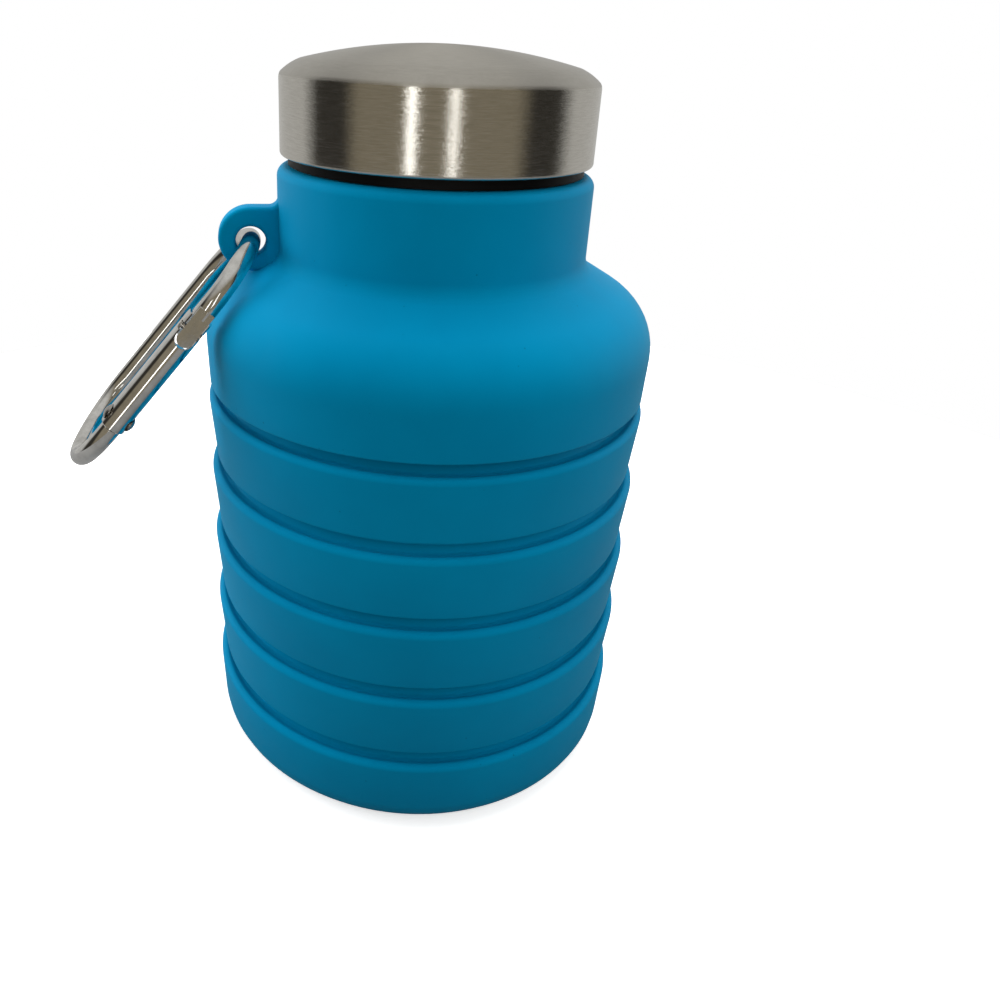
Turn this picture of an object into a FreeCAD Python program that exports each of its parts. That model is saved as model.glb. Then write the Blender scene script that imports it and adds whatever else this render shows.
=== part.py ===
import FreeCAD, Part
import math
import os
import Sketcher

# Folding silicone bottle with a screw lid and a hanging carabiner.
# Millimetres. Z is up, the bottle stands on Z = 0, its axis is Z,
# and the hanging ear points to -X. The body is drawn folded, its resting state.

DIMENSIONS = [
    ("base_height", 15.6, "lowest fold edge above the floor"),
    ("fold_pitch", 13.0, "one folded ring to the next"),
    ("band_low_radius", 36.5, "ring band, lower edge"),
    ("band_top_radius", 37.5, "ring band, upper edge"),
    ("band_round", 1.0, "rounding of the band's upper edge"),
    ("lip_round", 0.3, "rounding of the band's lower edge"),
    ("lip_radius", 36.1, "where a band's under-face starts"),
    ("wall_inner_radius", 34.3, "inside of the band walls"),
    ("fold_slope", 0.8, "rise over run of the folded cones"),
    ("fold_gap", 1.6, "roof below the under-face, vertical"),
    ("roof_depth", 1.665, "roof thickness, vertical"),
    ("membrane_depth", 1.153, "membrane thickness, vertical"),
    ("membrane_outer_radius", 35.5, "membrane root"),
    ("bead_face_radius", 28.0, "where roof and membrane meet the bead"),
    ("bead_round", 1.75, "inner rounding of the bead"),
    ("foot_radius", 36.8, "outside of the base at the floor"),
    ("foot_round", 5.0, "outer rounding of the base"),
    ("foot_ring_radius", 30.0, "inside of the foot ring"),
    ("foot_recess", 0.8, "recess under the floor"),
    ("foot_bevel", 1.5, "sloped side of the recess"),
    ("floor_top", 3.2, "upper face of the floor"),
    ("floor_round", 3.0, "rounding of wall to floor"),
    ("shoulder_radius", 37.6, "shoulder wall"),
    ("shoulder_low_radius", 37.1, "shoulder wall at its lower edge"),
    ("shoulder_corner", 13.46, "corner of wall and cone before rounding"),
    ("shoulder_slope", 0.57735, "rise over run of the shoulder cone"),
    ("shoulder_round", 10.5, "outer shoulder rounding"),
    ("shoulder_depth", 3.23, "shoulder thickness, vertical"),
    ("shoulder_inner_round", 7.5, "inner shoulder rounding"),
    ("neck_radius", 25.35, "silicone neck"),
    ("neck_top", 34.8, "neck top above the first fold edge"),
    ("neck_root_round", 3.0, "neck to shoulder"),
    ("neck_lip_round", 1.6, "neck top edge"),
    ("flange_low", 22.4, "retaining flange, lower face"),
    ("flange_high", 24.4, "retaining flange, upper face"),
    ("flange_radius", 22.9, "retaining flange"),
    ("ear_reach", 29.7, "hole centre from the bottle axis"),
    ("ear_height", 23.1, "hole centre above the first fold edge"),
    ("ear_radius", 5.1, "ear outline"),
    ("ear_lift", 0.4, "outline centre above the hole"),
    ("ear_thickness", 3.8, "ear across"),
    ("ear_hole_radius", 2.4, "ear hole"),
    ("ear_root", 24.5, "ear's buried end from the axis"),
    ("ear_round", 1.5, "ear to neck"),
    ("ear_edge_round", 0.5, "ear outline edges"),
    ("insert_low", 20.4, "neck insert, lower end above the first fold edge"),
    ("insert_radius", 21.3, "neck insert, outside"),
    ("mouth_radius", 19.0, "neck insert, inside"),
    ("insert_length", 25.0, "neck insert"),
    ("mouth_round", 0.6, "mouth edges"),
    ("thread_lead", 5.0, "one turn of the thread"),
    ("thread_height", 5.5, "threaded length"),
    ("thread_bury", 0.2, "thread root inside its wall"),
    ("thread_half_root", 0.95, "half the thread width at the root"),
    ("thread_half_crest", 0.5, "half the thread width at the crest"),
    ("outer_thread_start", 17.8, "thread on the insert, above its lower end"),
    ("outer_thread_crest", 22.4, "thread on the insert"),
    ("inner_thread_start", 1.6, "thread in the liner, above its lower end"),
    ("inner_thread_crest", 21.55, "thread in the liner"),
    ("lid_low", 104.0, "lid shell above the floor"),
    ("lid_radius", 24.85, "lid shell"),
    ("lid_height", 17.0, "lid shell to the top of its dome"),
    ("dome_radius", 85.0, "dome of the lid"),
    ("lid_sheet", 0.5, "steel of the lid"),
    ("lid_wall", 12.0, "straight wall, up to its crease"),
    ("lid_crown_radius", 21.5, "where the sloped edge meets the dome"),
    ("lid_edge_bend", 9.0, "bend of the sloped edge"),
    ("lid_crease_round", 0.5, "rounding of the crease"),
    ("hem_depth", 0.95, "rolled lower edge, across"),
    ("hem_height", 0.85, "rolled lower edge, up"),
    ("hem_round", 0.7, "rolled lower edge"),
    ("liner_low", 102.6, "liner above the floor"),
    ("liner_skirt_radius", 23.6, "liner below the shell's hem"),
    ("liner_radius", 24.3, "liner inside the shell"),
    ("liner_step", 2.3, "liner skirt height"),
    ("liner_bore", 22.75, "liner inside"),
    ("liner_ceiling", 12.0, "liner ceiling"),
    ("liner_top", 13.9, "liner top"),
    ("liner_shoulder", 11.2, "liner wall below its bevel"),
    ("liner_bevel_radius", 21.5, "liner top disc"),
    ("plug_outer", 18.4, "plug ring outside"),
    ("plug_inner", 17.0, "plug ring inside"),
    ("plug_low", 8.0, "plug ring lower edge"),
    ("seal_low", 113.02, "seal above the floor"),
    ("seal_height", 1.56, "seal"),
    ("seal_inner", 18.55, "seal inside"),
    ("seal_outer", 22.4, "seal outside"),
    ("carabiner_tilt", 39.6, "loop from hanging straight down, degrees"),
    ("wire_radius", 1.6, "carabiner wire"),
    ("loop_half_width", 11.0, "wire centre to the loop's middle"),
    ("loop_length", 46.0, "wire centre, top to bottom"),
    ("nose_drop", 12.2, "nose shoulder below the hole"),
    ("tongue_drop", 17.4, "nose tongue end below the hole"),
    ("tongue_half_width", 1.3, "nose tongue across"),
    ("tongue_inner", 1.2, "nose tongue, loop side"),
    ("tongue_depth", 2.75, "nose tongue, inside to outside"),
    ("pin_drop", 14.8, "nose pin below the hole"),
    ("pin_offset", 0.2, "nose pin outward of the wire centre"),
    ("pin_radius", 0.5, "nose pin"),
    ("pin_length", 3.6, "nose pin"),
    ("pivot_drop", 33.0, "gate pivot below the hole"),
    ("tang_radius", 1.15, "tang round the pivot"),
    ("tang_thickness", 1.6, "tang across"),
    ("tang_length", 3.6, "tang from the pivot into the wire"),
    ("rivet_radius", 0.75, "pivot rivet"),
    ("rivet_clearance", 0.05, "gate hole round the rivet"),
    ("rivet_grip", 3.96, "between the rivet heads"),
    ("rivet_head_radius", 1.3, "rivet heads"),
    ("rivet_head_height", 0.55, "rivet heads"),
    ("gate_half_width", 1.95, "gate across, half"),
    ("gate_inner_half", 1.5, "gate channel, half"),
    ("gate_cheek", 1.8, "cheeks toward the loop"),
    ("gate_below", 1.7, "gate below the pivot"),
    ("gate_above", 20.7, "gate above the pivot"),
    ("gate_end_round", 1.3, "cheek corners"),
    ("gate_slot_end", 15.3, "nose slot end above the pivot"),
    ("gate_notch_half", 0.65, "nose pin notch, half"),
    ("web_low", 14.0, "cross web above the pivot"),
    ("web_thickness", 0.8, "cross web"),
    ("web_reach", 1.2, "cross web toward the loop"),
    ("plunger_gap", 1.25, "plunger face above the pivot"),
    ("plunger_radius", 1.25, "plunger head"),
    ("plunger_head", 1.6, "plunger head"),
    ("plunger_stem_radius", 0.75, "plunger stem"),
    ("plunger_length", 4.2, "plunger"),
    ("spring_radius", 1.0, "spring coil, wire centre"),
    ("spring_wire", 0.2, "spring wire radius"),
    ("spring_pitch", 1.1, "spring coil"),
    ("spring_length", 10.7, "spring, wire centre to wire centre"),
    ("overcut", 1.0, "how far a cut runs past the solid"),
]

RING_COUNT = 4
FOLD_COUNT = RING_COUNT + 1
SMALL = 1e-6
NEAR = 0.01
MARGIN = 0.1
HELIX_BY_PITCH_AND_HEIGHT = 0

document = FreeCAD.newDocument("folding_bottle")
sheet = document.addObject("Spreadsheet::Sheet", "Dim")
for row, (alias, amount, note) in enumerate(DIMENSIONS, 1):
    sheet.set("A%d" % row, alias)
    sheet.set("B%d" % row, "%g" % amount)
    sheet.set("C%d" % row, note)
    sheet.setAlias("B%d" % row, alias)
document.recompute()


def size(formula):
    """Value of a formula over the sheet, such as "Dim.fold_pitch * 2"."""
    return float(sheet.evalExpression(formula.replace("Dim.", "")))


def new_body(label):
    body = document.addObject("PartDesign::Body", label)
    body.Label = label
    return body


def plane(body, role):
    return next(item for item in body.Origin.OriginFeatures if item.Role == role)


def new_sketch(body, name, role, offset=None):
    """Sketch on one of the body's own planes; offset gives bound x, y and z shifts."""
    sketch = body.newObject("Sketcher::SketchObject", body.Name + "_" + name)
    sketch.AttachmentSupport = [(plane(body, role), "")]
    sketch.MapMode = "FlatFace"
    for axis, formula in (offset or {}).items():
        sketch.setExpression(".AttachmentOffset.Base." + axis, formula)
    return sketch


def hold(sketch, geometry, end, x, y):
    """Tie one end of a piece of geometry to sheet formulas for x and y."""
    directions = (("DistanceX", x, -2), ("DistanceY", y, -1))
    for kind, formula, axis in directions:
        amount = size(formula)
        if abs(amount) < SMALL:
            sketch.addConstraint(Sketcher.Constraint("PointOnObject", geometry, end, axis))
            continue
        rule = Sketcher.Constraint(kind, -1, 1, geometry, end, amount)
        index = sketch.addConstraint(rule)
        sketch.setExpression("Constraints[%d]" % index, formula)


def arc_between(start, end, radius, turn):
    """Shorter arc from start to end; turn is 1 for anticlockwise, -1 for clockwise."""
    chord = end - start
    middle = (start + end) * 0.5
    reach = math.sqrt(radius ** 2 - (chord.Length / 2) ** 2)
    side = FreeCAD.Vector(-chord.y, chord.x, 0).normalize() * (turn * reach)
    centre = middle + side
    first, last = (start, end) if turn > 0 else (end, start)
    angles = [math.atan2(point.y - centre.y, point.x - centre.x) for point in (first, last)]
    if angles[1] < angles[0]:
        angles[1] += 2 * math.pi
    circle = Part.Circle(centre, FreeCAD.Vector(0, 0, 1), radius)
    return Part.ArcOfCircle(circle, angles[0], angles[1])


def draw_path(sketch, corners, closed=True):
    """Lines and arcs through corners of (x, y) or (x, y, radius, turn).

    A corner with a radius is reached by an arc. Every corner is tied to the sheet.
    """
    points = [FreeCAD.Vector(size(corner[0]), size(corner[1]), 0) for corner in corners]
    order = list(range(1, len(corners)))
    if closed:
        order.append(0)
    previous = None
    first = None
    for index in order:
        corner = corners[index]
        start, end = points[index - 1], points[index]
        ends = (1, 2)
        if len(corner) == 4:
            geometry = sketch.addGeometry(arc_between(start, end, size(corner[2]), corner[3]))
            rule = sketch.addConstraint(Sketcher.Constraint("Radius", geometry, size(corner[2])))
            sketch.setExpression("Constraints[%d]" % rule, corner[2])
            ends = (1, 2) if corner[3] > 0 else (2, 1)
        else:
            geometry = sketch.addGeometry(Part.LineSegment(start, end))
        if previous:
            joint = Sketcher.Constraint("Coincident", previous[0], previous[1], geometry, ends[0])
            sketch.addConstraint(joint)
        else:
            first = (geometry, ends[0])
            hold(sketch, geometry, ends[0], corners[index - 1][0], corners[index - 1][1])
        if closed and index == 0:
            joint = Sketcher.Constraint("Coincident", geometry, ends[1], first[0], first[1])
            sketch.addConstraint(joint)
        else:
            hold(sketch, geometry, ends[1], corner[0], corner[1])
        previous = (geometry, ends[1])


def draw_circle(sketch, x, y, radius):
    circle = Part.Circle(FreeCAD.Vector(size(x), size(y), 0), FreeCAD.Vector(0, 0, 1), size(radius))
    geometry = sketch.addGeometry(circle)
    hold(sketch, geometry, 3, x, y)
    rule = sketch.addConstraint(Sketcher.Constraint("Radius", geometry, size(radius)))
    sketch.setExpression("Constraints[%d]" % rule, radius)


def revolve(body, name, corners):
    """Turn a closed outline in the XZ plane about Z."""
    sketch = new_sketch(body, name, "XZ_Plane")
    draw_path(sketch, corners)
    feature = body.newObject("PartDesign::Revolution", body.Name + "_" + name + "_turned")
    feature.Profile = (sketch, [""])
    feature.ReferenceAxis = (sketch, ["V_Axis"])
    feature.Angle = 360
    document.recompute()
    return feature


def pad(body, sketch, length, symmetric=False):
    feature = body.newObject("PartDesign::Pad", sketch.Name + "_pad")
    feature.Profile = (sketch, [""])
    feature.setExpression("Length", length)
    if symmetric:
        feature.SideType = "Symmetric"
    document.recompute()
    return feature


def pocket(body, sketch, length, symmetric=True, backward=False):
    """Cut; stops the build if nothing was taken away."""
    before = body.Shape.Volume
    feature = body.newObject("PartDesign::Pocket", sketch.Name + "_cut")
    feature.Profile = (sketch, [""])
    feature.setExpression("Length", length)
    feature.Reversed = backward
    if symmetric:
        feature.SideType = "Symmetric"
    document.recompute()
    if body.Shape.Volume > before - SMALL:
        raise RuntimeError(feature.Name + " removed nothing")
    return feature


def circles_at(shape, radius, height):
    """Names of the full circular edges of this radius at this height."""
    found = []
    for number, edge in enumerate(shape.Edges, 1):
        if edge.Degenerated or not isinstance(edge.Curve, Part.Circle):
            continue
        centre = edge.Curve.Center
        on_axis = math.hypot(centre.x, centre.y) < NEAR
        if on_axis and abs(edge.Curve.Radius - radius) < NEAR and abs(centre.z - height) < NEAR:
            found.append("Edge%d" % number)
    return found


def round_edges(body, name, edges, radius):
    if not edges:
        raise RuntimeError(body.Name + "_" + name + " found no edge")
    solid = body.Tip
    feature = body.newObject("PartDesign::Fillet", body.Name + "_" + name)
    feature.Base = (solid, edges)
    feature.setExpression("Radius", radius)
    document.recompute()
    return feature


def round_circle(body, name, radius_formula, height_formula, rounding):
    edges = circles_at(body.Shape, size(radius_formula), size(height_formula))
    return round_edges(body, name, edges, rounding)


def edges_inside(shape, low, high):
    """Names of the edges whose whole box lies between two corners."""
    found = []
    for number, edge in enumerate(shape.Edges, 1):
        box = edge.BoundBox
        above = box.XMin > low[0] and box.YMin > low[1] and box.ZMin > low[2]
        below = box.XMax < high[0] and box.YMax < high[1] and box.ZMax < high[2]
        if above and below:
            found.append("Edge%d" % number)
    return found


def place(item, x=0, y=0, z=0, turn=None):
    item.Placement = FreeCAD.Placement(FreeCAD.Vector(x, y, z), turn or FreeCAD.Rotation())
    return item


def cone_at(radius, top, drop):
    """Height on a folded cone that passes drop below the fold edge's lip."""
    return "%s - %s + (Dim.lip_radius - %s) * Dim.fold_slope" % (top, drop, radius)


def band_and_roof(top):
    """Corners from a band's upper edge over its roof and bead to the wall's inside.

    top is the height of the next fold edge above.
    """
    under_roof = "(Dim.fold_gap + Dim.roof_depth)"
    bead = "Dim.bead_face_radius"
    wall = "Dim.wall_inner_radius"
    return [
        ("Dim.band_top_radius", cone_at("Dim.band_top_radius", top, "Dim.fold_gap")),
        (bead, cone_at(bead, top, "Dim.fold_gap")),
        (bead, cone_at(bead, top, "0")),
        (bead, cone_at(bead, top, under_roof), "Dim.bead_round", 1),
        (wall, cone_at(wall, top, under_roof)),
    ]


def round_band(body, top):
    height = cone_at("Dim.band_top_radius", top, "Dim.fold_gap")
    round_circle(body, "band_edge", "Dim.band_top_radius", height, "Dim.band_round")


def make_base_cup():
    body = new_body("base_cup")
    corners = [
        ("0", "Dim.foot_recess"),
        ("Dim.foot_ring_radius - Dim.foot_bevel", "Dim.foot_recess"),
        ("Dim.foot_ring_radius", "0"),
        ("Dim.foot_radius", "0"),
    ]
    corners += band_and_roof("Dim.base_height")
    corners += [("Dim.wall_inner_radius", "Dim.floor_top"), ("0", "Dim.floor_top")]
    revolve(body, "section", corners)
    round_band(body, "Dim.base_height")
    round_circle(body, "foot_edge", "Dim.foot_radius", "0", "Dim.foot_round")
    round_circle(body, "floor_edge", "Dim.wall_inner_radius", "Dim.floor_top", "Dim.floor_round")
    return body


def under_face():
    """Closing corners of a band: up its inner wall's foot and out to the lip."""
    wall = "Dim.wall_inner_radius"
    return [(wall, cone_at(wall, "0", "0")), ("Dim.lip_radius", "0")]


def make_ring(number):
    body = new_body("bellows_ring_%d" % number)
    corners = [("Dim.band_low_radius", "0")]
    corners += band_and_roof("Dim.fold_pitch")
    corners += under_face()
    revolve(body, "section", corners)
    round_band(body, "Dim.fold_pitch")
    round_circle(body, "lip_edge", "Dim.band_low_radius", "0", "Dim.lip_round")
    return body


def make_membrane(number):
    """Thin web of one fold, from the upper band's lip in to the lower ring's bead."""
    body = new_body("fold_membrane_%d" % number)
    outer = "Dim.membrane_outer_radius"
    inner = "Dim.bead_face_radius"
    corners = [
        (outer, cone_at(outer, "0", "Dim.membrane_depth")),
        (outer, cone_at(outer, "0", "0")),
        (inner, cone_at(inner, "0", "0")),
        (inner, cone_at(inner, "0", "Dim.membrane_depth")),
    ]
    revolve(body, "section", corners)
    return body


def shoulder_at(radius, depth="0"):
    """Height of the shoulder cone at a radius, or of its inner face depth below."""
    run = "(Dim.shoulder_radius - %s)" % radius
    return "Dim.shoulder_corner - %s + %s * Dim.shoulder_slope" % (depth, run)


def shoulder_section():
    """Wall, cone and neck; a 30 degree cone meets the root rounding half its radius out."""
    bore = "Dim.insert_radius"
    wall = "Dim.wall_inner_radius"
    root = "(Dim.neck_radius + Dim.neck_root_round / 2)"
    root_top = shoulder_at("Dim.neck_radius") + " + Dim.neck_root_round * Dim.shoulder_slope"
    corners = [
        ("Dim.shoulder_low_radius", "0"),
        ("Dim.shoulder_radius", "Dim.shoulder_corner"),
        (root, shoulder_at(root)),
        ("Dim.neck_radius", root_top, "Dim.neck_root_round", -1),
        ("Dim.neck_radius", "Dim.neck_top"),
        (bore, "Dim.neck_top"),
        (bore, "Dim.flange_high"),
        ("Dim.flange_radius", "Dim.flange_high"),
        ("Dim.flange_radius", "Dim.flange_low"),
        (bore, "Dim.flange_low"),
        (bore, shoulder_at(bore, "Dim.shoulder_depth")),
        (wall, shoulder_at(wall, "Dim.shoulder_depth")),
    ]
    return corners + under_face()


def add_ear(body):
    """Round-edged lug with its hole; its inner end is buried in the neck wall."""
    sketch = new_sketch(body, "ear", "XZ_Plane")
    centre = "Dim.ear_height + Dim.ear_lift"
    top = centre + " + Dim.ear_radius"
    corners = [
        ("-Dim.ear_root", top + " + Dim.ear_round"),
        ("-Dim.neck_radius", top + " + Dim.ear_round"),
        ("-Dim.neck_radius - Dim.ear_round", top, "Dim.ear_round", -1),
        ("-Dim.ear_reach", top),
        ("-Dim.ear_reach - Dim.ear_radius", centre, "Dim.ear_radius", 1),
        ("-Dim.ear_reach", centre + " - Dim.ear_radius", "Dim.ear_radius", 1),
        ("-Dim.ear_root", centre + " - Dim.ear_radius"),
    ]
    draw_path(sketch, corners)
    pad(body, sketch, "Dim.ear_thickness", symmetric=True)
    hole = new_sketch(body, "ear_hole", "XZ_Plane")
    draw_circle(hole, "-Dim.ear_reach", "Dim.ear_height", "Dim.ear_hole_radius")
    pocket(body, hole, "Dim.ear_thickness + Dim.overcut * 2")
    half = size("Dim.ear_thickness") / 2
    rims = [
        "Edge%d" % number
        for number, edge in enumerate(body.Shape.Edges, 1)
        if edge.BoundBox.YLength < NEAR and abs(abs(edge.BoundBox.YMax) - half) < NEAR
    ]
    round_edges(body, "ear_rims", rims, "Dim.ear_edge_round")


def make_neck_and_shoulder():
    body = new_body("neck_and_shoulder")
    add_ear(body)
    revolve(body, "section", shoulder_section())
    round_circle(body, "lip_edge", "Dim.shoulder_low_radius", "0", "Dim.lip_round")
    round_circle(body, "shoulder_edge", "Dim.shoulder_radius", "Dim.shoulder_corner",
                 "Dim.shoulder_round")
    round_circle(body, "neck_lip", "Dim.neck_radius", "Dim.neck_top", "Dim.neck_lip_round")
    round_circle(body, "inner_shoulder", "Dim.wall_inner_radius",
                 shoulder_at("Dim.wall_inner_radius", "Dim.shoulder_depth"),
                 "Dim.shoulder_inner_round")
    return body


def add_thread(body, root, crest, start, outward):
    """Raised right-hand thread: root buried in the wall, crest at its own radius."""
    bury = "-Dim.thread_bury" if outward else "Dim.thread_bury"
    buried = "%s + %s" % (root, bury)
    sketch = new_sketch(body, "thread", "XZ_Plane")
    corners = [
        (buried, start + " - Dim.thread_half_root"),
        (crest, start + " - Dim.thread_half_crest"),
        (crest, start + " + Dim.thread_half_crest"),
        (buried, start + " + Dim.thread_half_root"),
    ]
    draw_path(sketch, corners)
    feature = body.newObject("PartDesign::AdditiveHelix", body.Name + "_thread_rib")
    feature.Profile = (sketch, [""])
    feature.ReferenceAxis = (sketch, ["V_Axis"])
    feature.Mode = HELIX_BY_PITCH_AND_HEIGHT
    feature.setExpression("Pitch", "Dim.thread_lead")
    feature.setExpression("Height", "Dim.thread_height")
    document.recompute()
    return feature


def make_neck_finish():
    body = new_body("neck_finish")
    low = "Dim.flange_low - Dim.insert_low"
    high = "Dim.flange_high - Dim.insert_low"
    corners = [
        ("Dim.mouth_radius", "0"),
        ("Dim.insert_radius", "0"),
        ("Dim.insert_radius", low),
        ("Dim.flange_radius", low),
        ("Dim.flange_radius", high),
        ("Dim.insert_radius", high),
        ("Dim.insert_radius", "Dim.insert_length"),
        ("Dim.mouth_radius", "Dim.insert_length"),
    ]
    revolve(body, "section", corners)
    for name, radius in (("mouth_inner", "Dim.mouth_radius"), ("mouth_outer", "Dim.insert_radius")):
        round_circle(body, name, radius, "Dim.insert_length", "Dim.mouth_round")
    add_thread(body, "Dim.insert_radius", "Dim.outer_thread_crest", "Dim.outer_thread_start", True)
    return body


def dome_height(radius, sphere, top):
    """Height at radius on a sphere centred on the axis, so its arc meets the axis level."""
    return "%s - %s + sqrt((%s) ^ 2 - (%s) ^ 2)" % (top, sphere, sphere, radius)


def make_lid_shell():
    """Wall, crease, sloped edge and dome, all of one sheet thickness."""
    body = new_body("lid_shell")
    inside = "Dim.lid_radius - Dim.lid_sheet"
    under_dome = "Dim.lid_height - Dim.lid_sheet"
    inner_crown = "Dim.lid_crown_radius - Dim.lid_sheet"
    inner_sphere = "(Dim.dome_radius - Dim.lid_sheet)"
    outer_crown_height = dome_height("Dim.lid_crown_radius", "Dim.dome_radius", "Dim.lid_height")
    inner_crown_height = dome_height(inner_crown, inner_sphere, under_dome)
    corners = [
        ("Dim.lid_radius - Dim.hem_depth", "0"),
        ("Dim.lid_radius", "0"),
        ("Dim.lid_radius", "Dim.lid_wall"),
        ("Dim.lid_crown_radius", outer_crown_height, "Dim.lid_edge_bend", 1),
        ("0", "Dim.lid_height", "Dim.dome_radius", 1),
        ("0", under_dome),
        (inner_crown, inner_crown_height, inner_sphere, -1),
        (inside, "Dim.lid_wall - Dim.lid_sheet", "Dim.lid_edge_bend - Dim.lid_sheet", -1),
        (inside, "Dim.hem_height"),
        ("Dim.lid_radius - Dim.hem_depth", "Dim.hem_height"),
    ]
    revolve(body, "section", corners)
    round_circle(body, "crease", "Dim.lid_radius", "Dim.lid_wall", "Dim.lid_crease_round")
    round_circle(body, "hem_edge", "Dim.lid_radius", "0", "Dim.hem_round")
    return body


def make_lid_liner():
    body = new_body("lid_liner")
    corners = [
        ("Dim.liner_bore", "0"),
        ("Dim.liner_skirt_radius", "0"),
        ("Dim.liner_skirt_radius", "Dim.liner_step"),
        ("Dim.liner_radius", "Dim.liner_step"),
        ("Dim.liner_radius", "Dim.liner_shoulder"),
        ("Dim.liner_bevel_radius", "Dim.liner_top"),
        ("0", "Dim.liner_top"),
        ("0", "Dim.liner_ceiling"),
        ("Dim.plug_inner", "Dim.liner_ceiling"),
        ("Dim.plug_inner", "Dim.plug_low"),
        ("Dim.plug_outer", "Dim.plug_low"),
        ("Dim.plug_outer", "Dim.liner_ceiling"),
        ("Dim.liner_bore", "Dim.liner_ceiling"),
    ]
    revolve(body, "section", corners)
    add_thread(body, "Dim.liner_bore", "Dim.inner_thread_crest", "Dim.inner_thread_start", False)
    return body


def make_lid_seal():
    body = new_body("lid_seal")
    corners = [
        ("Dim.seal_inner", "0"),
        ("Dim.seal_outer", "0"),
        ("Dim.seal_outer", "Dim.seal_height"),
        ("Dim.seal_inner", "Dim.seal_height"),
    ]
    revolve(body, "section", corners)
    return body


def add_loop_wire(body):
    """Round wire from the nose over the top, down the spine and round to the pivot."""
    half = "Dim.loop_half_width"
    low = "-Dim.loop_length + Dim.loop_half_width"
    path = new_sketch(body, "path", "XZ_Plane")
    corners = [
        (half, "-Dim.nose_drop"),
        (half, "-" + half),
        ("0", "0", half, 1),
        ("-" + half, "-" + half, half, 1),
        ("-" + half, low),
        ("0", "-Dim.loop_length", half, 1),
        (half, low, half, 1),
    ]
    draw_path(path, corners, closed=False)
    section = new_sketch(body, "wire", "XY_Plane", {"x": half, "z": "-Dim.nose_drop"})
    draw_circle(section, "0", "0", "Dim.wire_radius")
    pipe = body.newObject("PartDesign::AdditivePipe", body.Name + "_loop")
    pipe.Profile = (section, [""])
    pipe.Spine = (path, [])
    document.recompute()


def add_nose(body):
    """Flat rounded tongue below the nose shoulder, bored for the cross pin."""
    wide = "Dim.tongue_half_width"
    tip = "-Dim.tongue_drop + Dim.tongue_half_width"
    tongue = new_sketch(body, "tongue", "YZ_Plane", {"z": "Dim.loop_half_width - Dim.tongue_inner"})
    corners = [
        (wide, "-Dim.nose_drop + Dim.wire_radius"),
        ("-" + wide, "-Dim.nose_drop + Dim.wire_radius"),
        ("-" + wide, tip),
        ("0", "-Dim.tongue_drop", wide, 1),
        (wide, tip, wide, 1),
    ]
    draw_path(tongue, corners)
    pad(body, tongue, "Dim.tongue_depth")
    hole = new_sketch(body, "pin_hole", "XZ_Plane")
    draw_circle(hole, "Dim.loop_half_width + Dim.pin_offset", "-Dim.pin_drop", "Dim.pin_radius")
    pocket(body, hole, "Dim.pin_length")


def add_tang(body):
    """Flat tang from the lower bend up to the gate's pivot."""
    centre = "Dim.loop_half_width"
    pivot = "-Dim.pivot_drop"
    tang = new_sketch(body, "tang", "XZ_Plane")
    corners = [
        (centre + " + Dim.tang_radius", pivot + " - Dim.tang_length"),
        (centre + " + Dim.tang_radius", pivot),
        (centre, pivot + " + Dim.tang_radius", "Dim.tang_radius", 1),
        (centre + " - Dim.tang_radius", pivot, "Dim.tang_radius", 1),
        (centre + " - Dim.tang_radius", pivot + " - Dim.tang_length"),
    ]
    draw_path(tang, corners)
    pad(body, tang, "Dim.tang_thickness", symmetric=True)
    hole = new_sketch(body, "rivet_hole", "XZ_Plane")
    draw_circle(hole, centre, pivot, "Dim.rivet_radius")
    pocket(body, hole, "Dim.tang_thickness + Dim.overcut * 2")


def make_carabiner_frame():
    body = new_body("carabiner_frame")
    add_loop_wire(body)
    add_tang(body)
    add_nose(body)
    return body


def add_gate_channel(body):
    half = "Dim.gate_half_width"
    inner = "Dim.gate_inner_half"
    cheek = "-Dim.gate_cheek"
    channel = new_sketch(body, "channel", "XY_Plane", {"z": "-Dim.gate_below"})
    corners = [
        (cheek, "-" + half),
        ("0", "-" + half),
        (half, "0", half, 1),
        ("0", half, half, 1),
        (cheek, half),
        (cheek, inner),
        ("0", inner),
        (inner, "0", inner, -1),
        ("0", "-" + inner, inner, -1),
        (cheek, "-" + inner),
    ]
    draw_path(channel, corners)
    pad(body, channel, "Dim.gate_below + Dim.gate_above")


def cut_gate(body):
    """Nose slot with its rounded end, the pin notches and the rivet holes."""
    inner = "Dim.gate_inner_half"
    slot = new_sketch(body, "slot", "YZ_Plane")
    open_end = "Dim.gate_above + Dim.overcut"
    bottom = "Dim.gate_slot_end + Dim.gate_inner_half"
    corners = [
        ("-" + inner, open_end),
        ("-" + inner, bottom),
        ("0", "Dim.gate_slot_end", inner, 1),
        (inner, bottom, inner, 1),
        (inner, open_end),
    ]
    draw_path(slot, corners)
    pocket(body, slot, "Dim.gate_half_width + Dim.overcut", symmetric=False, backward=True)
    notch = new_sketch(body, "notch", "XZ_Plane")
    middle = "Dim.pivot_drop - Dim.pin_drop"
    half = "Dim.gate_notch_half"
    deep = "Dim.pin_offset"
    outlet = "Dim.gate_half_width + Dim.overcut"
    corners = [
        (deep, middle + " - " + half, half, 1),
        (outlet, middle + " - " + half),
        (outlet, middle + " + " + half),
        (deep, middle + " + " + half),
        (deep + " - " + half, middle, half, 1),
    ]
    through = "Dim.gate_half_width * 2 + Dim.overcut * 2"
    draw_path(notch, corners)
    pocket(body, notch, through)
    holes = new_sketch(body, "rivet_holes", "XZ_Plane")
    draw_circle(holes, "0", "0", "Dim.rivet_radius + Dim.rivet_clearance")
    pocket(body, holes, through)


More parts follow.
